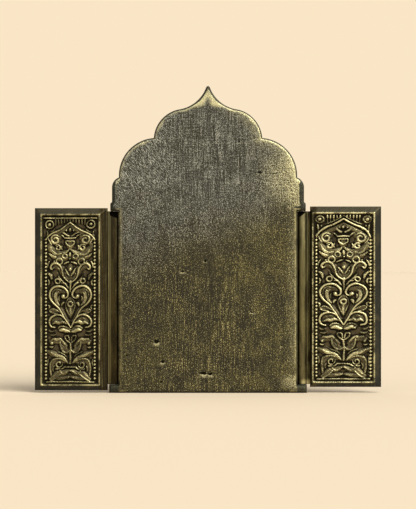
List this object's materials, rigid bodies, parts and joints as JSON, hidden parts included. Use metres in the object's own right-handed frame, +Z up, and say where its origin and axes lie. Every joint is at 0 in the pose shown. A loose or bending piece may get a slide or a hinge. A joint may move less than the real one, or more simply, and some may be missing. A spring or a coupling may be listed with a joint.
{
  "type": "triptych altarpiece",
  "caption": "Folding cast brass triptych altarpiece: a panel with a lobed, pointed top, and hinged wings carved with leaf scrolls.",
  "frame": {"origin": "middle of the foot's underside", "axes": "+Z up, +X across the opened wings, +Y out of the recessed front, so the plain back faces -Y"},
  "size_m": [0.1694, 0.01, 0.15],
  "materials": {
    "plate_brass": "aged, filed and scratched",
    "wing_brass": "aged, dark in the hollows and rubbed bright on the carving"
  },
  "bodies": {
    "central_panel": {"central_panel": "plate_brass"},
    "left_wing": {"left_wing": "wing_brass"},
    "right_wing": {"right_wing": "wing_brass"}
  },
  "joints": [
    {"name": "left_wing_hinge", "type": "hinge", "parent": "central_panel", "child": "left_wing", "pos_m": [-0.04245, 0.0024, 0], "axis": [0, 0, -1], "range_deg": [0, 180]},
    {"name": "right_wing_hinge", "type": "hinge", "parent": "central_panel", "child": "right_wing", "pos_m": [0.04245, 0.0024, 0], "axis": [0, 0, 1], "range_deg": [0, 180]}
  ]
}
